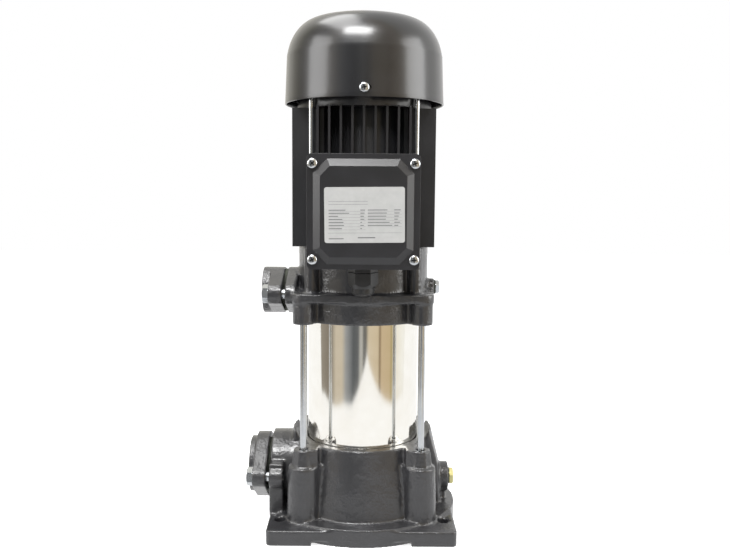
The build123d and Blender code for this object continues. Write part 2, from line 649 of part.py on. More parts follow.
def cover_screw():
    """Pan head screw that holds the cover to a boss of the end shield."""
    seat = -cover_inner_r(cover_screw_z - screw_head_r) - cover_t
    return (bar_y(screw_head_r, seat - screw_head_h, seat, 0, cover_screw_z)
            + bar_y(screw_r, seat, seat + screw_len, 0, cover_screw_z))


# ---- terminal box ---------------------------------------------------------------------------------------
def box_slab(width, height, y0, y1, corner_r):
    """Rounded upright slab across Y, centred on the terminal box."""
    face = RectangleRounded(width, height, corner_r)
    return Pos(0, y1, box_z) * Rot(90, 0, 0) * extrude(face, y1 - y0)


def lid_screw_places():
    return [(x * lid_screw_x / 2, box_z + z * lid_screw_z / 2) for x, z in CORNERS]


def terminal_box():
    front = box_back_y - box_depth
    body = box_slab(box_w, box_h, front, box_back_y, box_corner_r)
    inner = box_slab(box_w - 2 * box_wall, box_h - 2 * box_wall, front, box_back_y - box_wall, 3)
    for x, z in lid_screw_places():
        inner -= bar_y(box_boss_r, front, box_back_y, x, z)
    body -= inner
    body -= bar_y(wire_hole_r, box_back_y - box_wall, box_back_y, 0, box_z)
    for x, z in lid_screw_places():
        body -= bar_y(screw_r, front, front + screw_len, x, z)
    return body - disc(gland_thread_r, box_z - box_h / 2, box_z - box_h / 2 + box_wall, 0, gland_y)


def lid_gasket():
    y1 = box_back_y - box_depth
    y0 = y1 - lid_gasket_t
    body = box_slab(box_w - 1, box_h - 1, y0, y1, box_corner_r)
    body -= box_slab(box_w - 4 * box_wall, box_h - 4 * box_wall, y0, y1, 3)
    for x, z in lid_screw_places():
        body += bar_y(box_boss_r, y0, y1, x, z)
    for x, z in lid_screw_places():
        body -= bar_y(screw_r, y0, y1, x, z)
    return body


def octagon(width, height, cut):
    """Rectangle with its four corners cut off."""
    w, h = width / 2, height / 2
    points = [(w, h - cut), (w - cut, h), (cut - w, h), (-w, h - cut),
              (-w, cut - h), (cut - w, -h), (w - cut, -h), (w, cut - h)]
    return make_face(Polyline(*points, close=True))


def terminal_cover():
    """Lid with a raised eight-sided panel on sloping sides, hollow behind."""
    body = box_slab(lid_w, lid_h, lid_face_y, lid_back_y, box_corner_r)
    foot = Plane(origin=(0, lid_face_y, box_z), x_dir=(1, 0, 0), z_dir=(0, -1, 0))
    top = foot.offset(lid_depth)
    inner_cut = lid_panel_cut - lid_bevel * 0.59
    body += loft([foot * octagon(lid_panel_w, lid_panel_h, lid_panel_cut),
                  top * octagon(lid_panel_w - 2 * lid_bevel, lid_panel_h - 2 * lid_bevel, inner_cut)])
    hollow = octagon(lid_panel_w - 2 * lid_bevel - 3, lid_panel_h - 2 * lid_bevel - 3, inner_cut)
    back = Plane(origin=(0, lid_back_y, box_z), x_dir=(1, 0, 0), z_dir=(0, -1, 0))
    body -= back * extrude(hollow, lid_plate_t + lid_depth - box_wall)
    for x, z in lid_screw_places():
        body -= bar_y(screw_r + 0.3, lid_face_y, lid_back_y, x, z)
    return body


def lid_screws():
    seat = lid_face_y
    return [bar_y(screw_head_r, seat - screw_head_h, seat, x, z)
            + bar_y(screw_r, seat, box_back_y - box_depth + screw_len - 1, x, z)
            for x, z in lid_screw_places()]


def terminal_board():
    y1 = box_back_y - box_wall
    z = box_z - box_h / 4
    return block(-board_w / 2, board_w / 2, y1 - board_t, y1, z - board_h / 2, z + board_h / 2)


def terminal_studs():
    y1 = box_back_y - box_wall - board_t
    z = box_z - box_h / 4
    return [bar_y(stud_r, y1 - stud_len, y1, (i - 1) * stud_pitch, z + row * board_h / 4)
            for i in range(3) for row in (-1, 1)]


def run_capacitor():
    y = box_back_y - box_wall - capacitor_r
    z = box_z + box_h / 2 - box_wall - capacitor_r - capacitor_drop
    return bar_x(capacitor_r, -capacitor_len / 2, capacitor_len / 2, y, z)


def gland_body():
    """Cable gland body: a threaded stub through the box floor, a hexagon collar and a plain barrel."""
    top = box_floor_z + box_wall + gland_locknut_h
    body = disc(gland_thread_r, box_floor_z, top, 0, gland_y)
    body += hex_z(gland_af, gland_collar_z, box_floor_z, 0, gland_y)
    body += disc(gland_barrel_r, gland_collar_z - gland_body_h, gland_collar_z, 0, gland_y)
    return body - disc(gland_bore_r, gland_collar_z - gland_body_h, top, 0, gland_y)


def gland_locknut():
    z0 = box_floor_z + box_wall
    z1 = z0 + gland_locknut_h
    return hex_z(gland_locknut_af, z0, z1, 0, gland_y) - disc(gland_thread_r, z0, z1, 0, gland_y)


def gland_seal():
    bottom = gland_collar_z - gland_body_h - gland_gap
    return ring(gland_bore_r, gland_hole_r, bottom, bottom + gland_seal_h, 0, gland_y)


def gland_nut():
    """Hexagon cap with rounded shoulders and a crown that squeezes the seal round a cable."""
    top = gland_collar_z - gland_gap
    shoulder = top - gland_nut_h
    corner = gland_af / 2 * 1.155
    cap = hex_z(gland_af, shoulder, top, 0, gland_y)
    cap &= Pos(0, gland_y, shoulder) * Cone(gland_crown_r, corner + gland_nut_h / 2, gland_nut_h, align=UP)
    crown = Pos(0, gland_y, shoulder - gland_crown_h) * Cone(
        gland_mouth_r + 1, gland_crown_r, gland_crown_h / 3, align=UP)
    cap += crown
    cap += disc(gland_crown_r, shoulder - gland_crown_h * 2 / 3, shoulder, 0, gland_y)
    cap -= disc(gland_barrel_r, gland_collar_z - gland_body_h - gland_gap, top, 0, gland_y)
    return cap - disc(gland_mouth_r, shoulder - gland_crown_h, top, 0, gland_y)


# ---- assembly --------------------------------------------------------------------------------------------
de_inner, de_outer, de_balls = bearing(de_bore_r, de_outer_r, de_width, de_ball_r, de_bearing_z)
nde_inner, nde_outer, nde_balls = bearing(nde_bore_r, nde_outer_r, nde_width, nde_ball_r, nde_bearing_z)

nodes = {
    "base_casting": base_casting(),
    "port_gaskets": [port_gasket(suction_face_x, suction_z, suction_thread_r, suction_hub_r),
                     port_gasket(outlet_face_x, outlet_z, outlet_thread_r, outlet_hub_r)],
    "suction_flange": companion_flange(suction_face_x, suction_z, suction_oval_r, suction_hub_r,
                                       suction_thread_r, suction_plate_t, suction_hub_t, suction_lug_y),
    "suction_bolts": port_bolts(suction_face_x, suction_z, suction_plate_t, suction_lug_y),
    "drain_plug": hex_plug(drain_face_x, drain_z, plug_af, plug_head_h, plug_r),
    "plug_washers": [plug_washer(drain_face_x, drain_z, plug_washer_r, plug_r),
                     plug_washer(vent_face_x, vent_z, vent_af / 2 + 1, vent_r)],
    "sleeve_gaskets": [ring(sleeve_r, sump_r, base_h - sleeve_socket, sleeve_bottom_z),
                       ring(sleeve_r, chamber_r, sleeve_top_z, head_z + sleeve_socket)],
    "outer_sleeve": ring(sleeve_r, sleeve_r - sleeve_t, sleeve_bottom_z, sleeve_top_z),
    "tie_rods": at_corners(tie_rod(), rod_pitch),
    "tie_rod_nuts": at_corners(rod_nut(), rod_pitch),
    "tie_rod_washers": at_corners(rod_washer(), rod_pitch),
    "discharge_head": discharge_head(),
    "outlet_flange": companion_flange(outlet_face_x, outlet_z, outlet_oval_r, outlet_hub_r,
                                      outlet_thread_r, outlet_plate_t, outlet_hub_t, outlet_lug_y),
    "outlet_bolts": port_bolts(outlet_face_x, outlet_z, outlet_plate_t, outlet_lug_y),
    "vent_plug": hex_plug(vent_face_x, vent_z, vent_af, vent_head_h, vent_r),
    "inlet_plate": inlet_plate(),
    "lower_bush": ring(spacer_r + bush_gap + bush_t, spacer_r + bush_gap, sleeve_bottom_z,
                       sleeve_bottom_z + inlet_plate_t),
    "neck_rings": [neck_ring(stack_z + i * stage_pitch) for i in range(stage_count)],
    "top_spacer": ring(bowl_r, bowl_r - bowl_wall, stack_top_z, sleeve_top_z),
    "shaft_spacers": shaft_spacers(),
    "shaft": shaft(),
    "shaft_washer": shaft_washer(),
    "shaft_nut": shaft_nut(),
    "seal_seat": seal_seat(),
    "seal_face": seal_face(),
    "seal_spring": seal_spring(),
    "seal_collar": seal_collar(),
    "drive_end_inner_ring": de_inner,
    "drive_end_outer_ring": de_outer,
    "drive_end_balls": de_balls,
    "fan_end_inner_ring": nde_inner,
    "fan_end_outer_ring": nde_outer,
    "fan_end_balls": nde_balls,
    "wave_spring": ring(nde_outer_r - 0.5, nde_outer_r - 4, nde_bearing_z + nde_width,
                        nde_bearing_z + nde_width + wave_spring_h),
    "motor_frame": motor_frame(),
    "stator_core": stator_core(),
    "stator_windings": stator_windings(),
    "rotor_core": rotor_core(),
    "motor_tie_rods": at_corners(motor_tie_rod(), motor_rod_pitch),
    "motor_rod_nuts": at_corners(motor_rod_nut(), motor_rod_pitch),
    "fan_end_shield": end_shield(),
    "fan": fan(),
    "fan_clip": fan_clip(),
    "fan_cover": fan_cover(),
    "fan_cover_screws": around(cover_screw(), cover_screws),
    "terminal_box": terminal_box(),
    "lid_gasket": lid_gasket(),
    "terminal_cover": terminal_cover(),
    "lid_screws": lid_screws(),
    "terminal_board": terminal_board(),
    "terminal_studs": terminal_studs(),
    "run_capacitor": run_capacitor(),
    "gland_body": gland_body(),
    "gland_locknut": gland_locknut(),
    "gland_seal": gland_seal(),
    "gland_nut": gland_nut(),
}
# one file holds a stage's wheel, bowl or diffuser for each of the four stages
stages = [stack_z + i * stage_pitch for i in range(stage_count)]
nodes["stage_bowls"] = [bowl(z) for z in stages]
nodes["impellers"] = [impeller(z) for z in stages]
nodes["diffusers"] = [diffuser(z) for z in stages]

for name, shape in nodes.items():
    solids = shape if isinstance(shape, list) else [shape]
    export_step(Compound(children=[s for item in solids for s in item.solids()]), f"parts/{name}.step")
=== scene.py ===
"""Looks of the vertical multistage pump: finishes, turned and cast surfaces, lamps and camera."""

import json
from math import asin, atan2, cos, pi, radians, sin, sqrt

import bmesh
import bpy
from mathutils import Matrix, Vector, noise


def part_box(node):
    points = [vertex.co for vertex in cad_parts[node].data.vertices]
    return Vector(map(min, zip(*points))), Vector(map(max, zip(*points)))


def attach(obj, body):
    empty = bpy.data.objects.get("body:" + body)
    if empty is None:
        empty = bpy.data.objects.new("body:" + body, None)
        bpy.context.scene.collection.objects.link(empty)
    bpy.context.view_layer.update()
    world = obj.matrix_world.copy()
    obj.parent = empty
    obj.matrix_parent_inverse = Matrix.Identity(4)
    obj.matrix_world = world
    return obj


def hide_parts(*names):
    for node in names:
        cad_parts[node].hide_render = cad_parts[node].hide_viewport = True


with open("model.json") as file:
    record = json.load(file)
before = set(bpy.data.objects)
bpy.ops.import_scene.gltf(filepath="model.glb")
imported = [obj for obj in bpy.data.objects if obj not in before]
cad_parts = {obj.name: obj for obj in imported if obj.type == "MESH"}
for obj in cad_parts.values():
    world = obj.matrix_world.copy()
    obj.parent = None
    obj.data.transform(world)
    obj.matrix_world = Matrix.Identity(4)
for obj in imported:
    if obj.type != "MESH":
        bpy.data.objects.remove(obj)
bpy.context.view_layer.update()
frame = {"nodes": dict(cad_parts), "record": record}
MM = 0.001
ALL_WAYS = (1.0, 1.0, 1.0)
RINGWISE = (0.04, 0.04, 1.0)      # lines that run round a vertical part
STACKED = (0.02, 0.02, 1.0)       # edges of a pile of thin sheets
CAST_PATCH_MM, PAINT_CLOUD_MM, METAL_CLOUD_MM = 26.0, 35.0, 18.0   # slow changes across a surface


# ---- materials: helpers --------------------------------------------------------------------------
def linear(hex_colour):
    """Linear RGBA of an sRGB hex value."""
    parts = [int(hex_colour[i:i + 2], 16) / 255 for i in (1, 3, 5)]
    return [p / 12.92 if p <= 0.04045 else ((p + 0.055) / 1.055) ** 2.4 for p in parts] + [1.0]


def add(tree, kind, settings=None, links=None):
    """Adds a node. Settings go to its attributes, inputs or colour stops; links are input: (node, output)."""
    node = tree.nodes.new(kind)
    for name, value in (settings or {}).items():
        if name == "stops":
            stops = node.color_ramp.elements
            while len(stops) < len(value):
                stops.new(0.5)
            for stop, (position, colour) in zip(stops, value):
                stop.position = position
                stop.color = colour
        elif isinstance(name, str) and hasattr(node, name):
            setattr(node, name, value)
        else:
            node.inputs[name].default_value = value
    for name, (source, output) in (links or {}).items():
        tree.links.new(source.outputs[output], node.inputs[name])
    return node


def blank(name):
    """New material and its node tree, emptied."""
    material = bpy.data.materials.new(name)
    material.use_nodes = True
    material.node_tree.nodes.clear()
    return material, material.node_tree


def grain(tree, size_mm, detail=2.0, rough=0.5, stretch=ALL_WAYS):
    """Noise on the piece's own coordinates, its features about a real size in millimetres."""
    where = add(tree, "ShaderNodeTexCoord")
    moved = add(tree, "ShaderNodeMapping", {"Scale": stretch}, {"Vector": (where, "Object")})
    return add(tree, "ShaderNodeTexNoise",
               {"Scale": 1 / (size_mm * MM), "Detail": detail, "Roughness": rough},
               {"Vector": (moved, "Vector")})


def finish(tree, tint, stops, polish, sheen, relief, depth_mm, settings, bumped=("Normal",)):
    """Wires a finish to the output: colour, roughness and relief each follow a texture."""
    colours = add(tree, "ShaderNodeValToRGB", {"stops": stops}, {"Fac": (tint, "Fac")})
    rough = add(tree, "ShaderNodeMapRange", {"To Min": sheen[0], "To Max": sheen[1]},
                {"Value": (polish, "Fac")})
    bump = add(tree, "ShaderNodeBump", {"Strength": 1.0, "Distance": depth_mm * MM}, {"Height": relief})
    links = {"Base Color": (colours, "Color"), "Roughness": (rough, "Result")}
    links.update({name: (bump, "Normal") for name in bumped})
    shader = add(tree, "ShaderNodeBsdfPrincipled", settings, links)
    add(tree, "ShaderNodeOutputMaterial", links={"Surface": (shader, "BSDF")})


def cast_paint(name, colour, dusty, rough, coarse_mm, depth_mm):
    """Painted sand casting: in patches the sand's grain stands through the coat."""
    material, tree = blank(name)
    sand = grain(tree, coarse_mm, 3.0, 0.55)
    patches = grain(tree, CAST_PATCH_MM, 3.0, 0.6)
    spots = add(tree, "ShaderNodeValToRGB",
                {"stops": ((0.42, (0.12, 0.12, 0.12, 1.0)), (0.6, (1.0, 1.0, 1.0, 1.0)))},
                {"Fac": (patches, "Fac")})
    height = add(tree, "ShaderNodeMath", {"operation": "MULTIPLY"}, {0: (sand, "Fac"), 1: (spots, "Color")})
    finish(tree, patches, ((0.35, linear(colour)), (0.75, linear(dusty))),
           sand, (rough - 0.12, rough + 0.14), (height, "Value"), depth_mm,
           {"IOR": 1.5, "Coat Weight": 0.8, "Coat Roughness": 0.14}, ("Normal", "Coat Normal"))
    return material


def sprayed_paint(name, colour, worn, rough, peel_mm, depth_mm, coat=0.2):
    """Sprayed satin paint: a faint orange peel and slow changes of sheen."""
    material, tree = blank(name)
    peel = grain(tree, peel_mm, 1.0)
    clouds = grain(tree, PAINT_CLOUD_MM, 2.0)
    finish(tree, clouds, ((0.3, linear(colour)), (0.8, linear(worn))),
           clouds, (rough - 0.05, rough + 0.06), (peel, "Fac"), depth_mm,
           {"IOR": 1.5, "Coat Weight": coat, "Coat Roughness": 0.2})
    return material


def turned_metal(name, colour, tint, rough, line_mm, depth_mm, stretch):
    """Bare metal with fine tool or polishing lines along one way."""
    material, tree = blank(name)
    lines = grain(tree, line_mm, 2.0, 0.6, stretch)
    clouds = grain(tree, METAL_CLOUD_MM, 2.0)
    finish(tree, clouds, ((0.3, linear(colour)), (0.75, linear(tint))),
           lines, (rough * 0.8, rough * 1.25), (lines, "Fac"), depth_mm, {"Metallic": 1.0})
    return material


def moulded(name, colour, tint, rough, grain_mm, depth_mm, ior=1.5):
    """Moulded plastic or rubber with the fine spark-eroded grain of its tool."""
    material, tree = blank(name)
    texture = grain(tree, grain_mm, 2.0)
    finish(tree, texture, ((0.3, linear(colour)), (0.8, linear(tint))),
           texture, (rough - 0.06, rough + 0.08), (texture, "Fac"), depth_mm, {"IOR": ior})
    return material


# ---- materials: the pump's finishes --------------------------------------------------------------
# the casting's grain of 2.6 mm is drawn coarser than moulding sand, so that it can be seen on the whole pump
iron_paint = cast_paint("charcoal_enamel_on_sand_cast_iron", "#272729", "#2f2f32", 0.40, 2.6, 0.7)
frame_paint = sprayed_paint("black_satin_enamel_on_aluminium", "#1b1b1d", "#232326", 0.40, 0.9, 0.012)
cover_paint = sprayed_paint("black_satin_enamel_on_pressed_steel", "#151517", "#1b1b1e", 0.34, 1.4, 0.010,
                            0.8)
box_paint = sprayed_paint("black_satin_powder_coat", "#1d1d1f", "#26262a", 0.38, 0.8, 0.012)
sleeve_steel = turned_metal("mirror_polished_stainless", "#fcfaf4", "#f7f4ec", 0.085, 0.5, 0.0006, RINGWISE)
pressed_steel = turned_metal("pressed_stainless", "#c4c4c2", "#b5b5b3", 0.24, 0.4, 0.002, ALL_WAYS)
zinc = turned_metal("bright_zinc_plate", "#d4d7da", "#c2c6cb", 0.22, 0.3, 0.003, ALL_WAYS)
shaft_steel = turned_metal("ground_steel", "#b9bbbd", "#a9abae", 0.20, 0.2, 0.002, RINGWISE)
brass = turned_metal("turned_brass", "#d3cd98", "#c4ba7c", 0.34, 0.25, 0.003, ALL_WAYS)
rubber = moulded("moulded_black_rubber", "#161616", "#222222", 0.62, 0.3, 0.02, 1.52)
fibre = moulded("cut_fibre_gasket", "#34372f", "#474a40", 0.8, 0.4, 0.03)
black_plastic = moulded("moulded_black_nylon", "#19191a", "#232324", 0.32, 0.25, 0.008, 1.53)
grey_plastic = moulded("moulded_dark_grey_nylon", "#3a3b3d", "#45464a", 0.42, 0.25, 0.008, 1.53)
pale_plastic = moulded("moulded_natural_acetal", "#cfc9b8", "#c2bcaa", 0.4, 0.3, 0.006, 1.48)
core_steel = turned_metal("stacked_electrical_steel", "#77787a", "#5f6062", 0.45, 0.5, 0.03, STACKED)
varnish = moulded("varnished_copper_winding", "#7a3c1c", "#5a2812", 0.35, 0.9, 0.25)
ceramic = moulded("lapped_ceramic", "#e6e1d6", "#dcd7cb", 0.2, 0.2, 0.001, 1.6)
carbon = moulded("lapped_carbon", "#1c1c1d", "#2a2a2b", 0.35, 0.2, 0.002, 1.6)
# darker zinc for the walls and floor of the screws' cross recesses: painted shade, standing in for the
# recess's shadow
painted_recess_shade = moulded("zinc_with_painted_recess_shade", "#2c2c2d", "#3a3a3b", 0.7, 0.3, 0.004)
label_foil = moulded("printed_white_foil", "#adadab", "#a5a5a3", 0.45, 6.0, 0.004)
grey_ink = moulded("grey_printing_ink", "#5d5e60", "#6a6b6d", 0.5, 1.5, 0.001)
white_shell = moulded("moulded_white_polypropylene", "#dcdcd8", "#cfcfca", 0.4, 0.3, 0.006, 1.49)

BY_SLOT = {
    "cast_iron_paint": iron_paint, "aluminium_paint": frame_paint, "cover_paint": cover_paint,
    "stainless_polished": sleeve_steel, "stainless_pressed": pressed_steel, "steel_zinc": zinc,
    "steel_shaft": shaft_steel, "brass": brass, "rubber": rubber, "fibre_gasket": fibre,
    "plastic_black": black_plastic, "plastic_grey": grey_plastic, "plastic_natural": pale_plastic,
    "core_steel": core_steel, "winding": varnish, "ceramic": ceramic, "carbon": carbon,
    "capacitor_shell": white_shell,
}
for entry in frame["record"]["subparts"]:
    node = frame["nodes"][entry["node"]]
    for slot in node.material_slots:
        slot.material = BY_SLOT[entry["material_slot"]]
for name in ("terminal_box", "terminal_cover"):
    for slot in frame["nodes"][name].material_slots:
        slot.material = box_paint


# ---- mesh tools ----------------------------------------------------------------------------------
def box_of(node):
    """Lowest and highest corner of a CAD node."""
    low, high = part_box(node)
    return Vector(low), Vector(high)


def piece(name, mesh_data, body, material, stands_for=()):
    """Puts a mesh into the scene as a piece that rides on a body."""
    made = bpy.data.objects.new(name, mesh_data)
    bpy.context.collection.objects.link(made)
    mesh_data.materials.clear()
    mesh_data.materials.append(material)
    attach(made, body)
    if stands_for:
        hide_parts(*stands_for)
    return made


def shade(made, degrees):
    """Smooth shading that keeps edges sharper than an angle."""
    made.data.polygons.foreach_set("use_smooth", [True] * len(made.data.polygons))
    made.data.set_sharp_from_angle(angle=radians(degrees))


def finish_modifiers(made):
    """Applies a piece's modifiers to its mesh."""
    graph = bpy.context.evaluated_depsgraph_get()
    solid = bpy.data.meshes.new_from_object(made.evaluated_get(graph))
    made.modifiers.clear()
    made.data = solid


def made_mesh(shape, name):
    """Mesh of a bmesh, which is then freed."""
    mesh = bpy.data.meshes.new(name)
    shape.to_mesh(mesh)
    shape.free()
    return mesh


def wall_faces(shape, first, second):
    """Quads between two closed rows of vertices."""
    for i in range(len(first)):
        j = (i + 1) % len(first)
        shape.faces.new((first[i], first[j], second[j], second[i]))


def solid_copy(node, name):
    """Watertight copy of a CAD node's mesh with its doubled vertices joined."""
    shape = bmesh.new()
    shape.from_mesh(frame["nodes"][node].data)
    bmesh.ops.remove_doubles(shape, verts=shape.verts, dist=0.004 * MM)
    return made_mesh(shape, name)


def sand_cast(node, name, body, grain_mm, rounds, extra=()):
    """Copy of a casting with every corner and root rounded, as a sand mould leaves them."""
    mesh = joined(name, [solid_copy(node, name), *extra])
    made = piece(name, mesh, body, iron_paint, (node,))
    shell = made.modifiers.new("mould", "REMESH")
    shell.mode = "VOXEL"
    shell.voxel_size = grain_mm * MM
    blend = made.modifiers.new("corners", "SMOOTH")
    blend.factor = 0.5
    blend.iterations = rounds
    finish_modifiers(made)
    shade(made, 180)
    return made


def lumpy(made, size_mm, depth_mm):
    """Moves a casting's skin in a little here and there, as a rammed mould leaves it."""
    verts = made.data.vertices
    spots = [vert.co.copy() for vert in verts]
    ways = [vert.normal.copy() for vert in verts]
    flat = []
    for spot, way in zip(spots, ways):
        dent = 0.5 + 0.5 * max(-1.0, min(1.0, noise.noise(spot / (size_mm * MM)) * 1.6))
        flat.extend(spot - way * dent * depth_mm * MM)
    verts.foreach_set("co", flat)
    made.data.update()


def broken_edges(node, name, body, material, width_mm, segments=2):
    """Copy of a machined or moulded piece with its sharp edges broken by a small radius."""
    mesh = solid_copy(node, name)
    shape = bmesh.new()
    shape.from_mesh(mesh)
    bmesh.ops.dissolve_limit(shape, angle_limit=radians(0.4), verts=shape.verts, edges=shape.edges)
    shape.to_mesh(mesh)
    shape.free()
    made = piece(name, mesh, body, material, (node,))
    bevel = made.modifiers.new("edges", "BEVEL")
    bevel.limit_method = "ANGLE"
    bevel.angle_limit = radians(32)
    bevel.width = width_mm * MM
    bevel.segments = segments
    bevel.harden_normals = True
    finish_modifiers(made)


def turned_mesh(name, profile, segments=128):
    """Mesh turned about Z from (radius, height) points in metres; an end on the axis is closed to a point."""
    shape = bmesh.new()
    rows = []
    for radius, height in profile:
        if radius < 1e-7:
            rows.append([shape.verts.new((0.0, 0.0, height))])
            continue
        angles = [2 * pi * i / segments for i in range(segments)]
        rows.append([shape.verts.new((radius * cos(a), radius * sin(a), height)) for a in angles])
    for below, above in zip(rows, rows[1:]):
        for i in range(segments):
            j = (i + 1) % segments
            corners = [below[i % len(below)], below[j % len(below)],
                       above[j % len(above)], above[i % len(above)]]
            distinct = [v for k, v in enumerate(corners) if v not in corners[:k]]
            if len(distinct) > 2:
                shape.faces.new(distinct)
    bmesh.ops.recalc_face_normals(shape, faces=shape.faces)
    return made_mesh(shape, name)


def hexagon_mesh(name, across_flats, levels):
    """Hexagon about Z whose corners are cut back to a limiting radius at each (height, limit) level."""
    shape = bmesh.new()
    per_side = 16
    count = 6 * per_side
    rows = []
    for height, limit in levels:
        row = []
        for i in range(count):
            angle = 2 * pi * i / count
            turn = (angle + pi / 6) % (pi / 3) - pi / 6
            flat = across_flats / 2 / cos(pi / 6 - abs(turn))
            radius = min(flat, limit)
            row.append(shape.verts.new((radius * cos(angle), radius * sin(angle), height)))
        rows.append(row)
    for below, above in zip(rows, rows[1:]):
        wall_faces(shape, below, above)
    for row in (rows[0], rows[-1]):
        shape.faces.new(row)
    bmesh.ops.recalc_face_normals(shape, faces=shape.faces)
    return made_mesh(shape, name)


def chamfered(across_flats, height, cut):
    """Levels of a hexagon head: round-cornered at its top, plain below."""
    corner = across_flats / 2 / cos(pi / 6)
    steps = [(0.0, corner + 1)]
    for share in (0.0, 0.25, 0.5, 0.75, 1.0):
        drop = cut * (1 - share)
        steps.append((height - drop, corner - (corner - across_flats / 2 * 0.93) * share ** 1.6))
    return steps


def placed(mesh, where, z_to):
    """Moves a mesh made about Z so that its Z points another way from a place."""
    turn = Vector((0, 0, 1)).rotation_difference(Vector(z_to)).to_matrix().to_4x4()
    mesh.transform(Matrix.Translation(where) @ turn)


def joined(name, meshes):
    """One mesh of several."""
    shape = bmesh.new()
    for mesh in meshes:
        shape.from_mesh(mesh)
    return made_mesh(shape, name)


# ---- castings: base, head and the two port flanges -----------------------------------------------
def prism(outline, top, bottom, taper=0.0):
    """Closed upright block on an (x, y) outline, its foot wider all round by a taper."""
    middle = sum((Vector(p) for p in outline), Vector((0, 0))) / len(outline)
    shape = bmesh.new()
    upper = [shape.verts.new((x, y, top)) for x, y in outline]
    lower = []
    for x, y in outline:
        out = (Vector((x, y)) - middle).normalized() * taper
        lower.append(shape.verts.new((x + out.x, y + out.y, bottom)))
    shape.faces.new(upper)
    shape.faces.new(lower)
    wall_faces(shape, upper, lower)
    bmesh.ops.recalc_face_normals(shape, faces=shape.faces)
    return made_mesh(shape, "prism")


def cap_blocks():
    """Flat caps of the four pillars, drawn in to the barrel, with the rods' holes left open."""
    rod_r = 3.75 * MM
    axis = box_of("tie_rods")[1].x - rod_r            # the rods stand at this X and Y, with either sign
    rise, deep, draft = 8.0 * MM, 20 * MM, 1.5 * MM
    inner, outer = 15 * MM, 5.2 * MM                  # the block's ends along X, in from the rods' axis
    near, far, far_inner = 10.5 * MM, 9.5 * MM, 6.0 * MM   # its sides along Y, from the same axis
    top = box_of("outer_sleeve")[0].z + rise
    blocks = []
    for sx in (-1, 1):
        for sy in (-1, 1):
            outline = [(axis - inner, axis - near), (axis - outer, axis - near),
                       (axis - outer, axis + far), (axis - inner, axis + far_inner)]
            ring = [(sx * x, sy * y) for x, y in outline]
            blocks.append(prism(ring if sx * sy > 0 else ring[::-1], top, top - deep, draft))
    return blocks


base = sand_cast("base_casting", "base_cast_skin", "housing", 1.3, 4, cap_blocks())
head = sand_cast("discharge_head", "head_cast_skin", "housing", 1.2, 5)
suction = sand_cast("suction_flange", "suction_flange_skin", "housing", 0.8, 7)
outlet = sand_cast("outlet_flange", "outlet_flange_skin", "housing", 0.8, 6)
LUMP_MM, LUMP_DEPTH_MM = 9.0, 0.16
for casting in (base, head, suction, outlet):
    lumpy(casting, LUMP_MM, LUMP_DEPTH_MM)


# ---- pump sleeve ---------------------------------------------------------------------------------
low, high = box_of("outer_sleeve")
wall = 2.0 * MM
break_r = 0.3 * MM
outside, inside = high.x, high.x - wall
sleeve_profile = [(inside, low.z + break_r), (inside + break_r, low.z), (outside - break_r, low.z),
                  (outside, low.z + break_r), (outside, high.z - break_r), (outside - break_r, high.z),
                  (inside + break_r, high.z), (inside, high.z - break_r), (inside, low.z + break_r)]
sleeve = piece("polished_sleeve", turned_mesh("polished_sleeve", sleeve_profile, 256), "housing",
               sleeve_steel, ("outer_sleeve",))
shade(sleeve, 30)


# ---- fan cover -----------------------------------------------------------------------------------
def arc(start, middle, end, steps):
    """Points on the circle through three (radius, height) points."""
    (ax, ay), (bx, by), (cx, cy) = start, middle, end
    d = 2 * (ax * (by - cy) + bx * (cy - ay) + cx * (ay - by))
    a2, b2, c2 = ax * ax + ay * ay, bx * bx + by * by, cx * cx + cy * cy
    ux = (a2 * (by - cy) + b2 * (cy - ay) + c2 * (ay - by)) / d
    uy = (a2 * (cx - bx) + b2 * (ax - cx) + c2 * (bx - ax)) / d
    r = sqrt((ax - ux) ** 2 + (ay - uy) ** 2)
    first, last = atan2(ay - uy, ax - ux), atan2(cy - uy, cx - ux)
    angles = [first + (last - first) * i / steps for i in range(steps + 1)]
    return [(ux + r * cos(angle), uy + r * sin(angle)) for angle in angles]


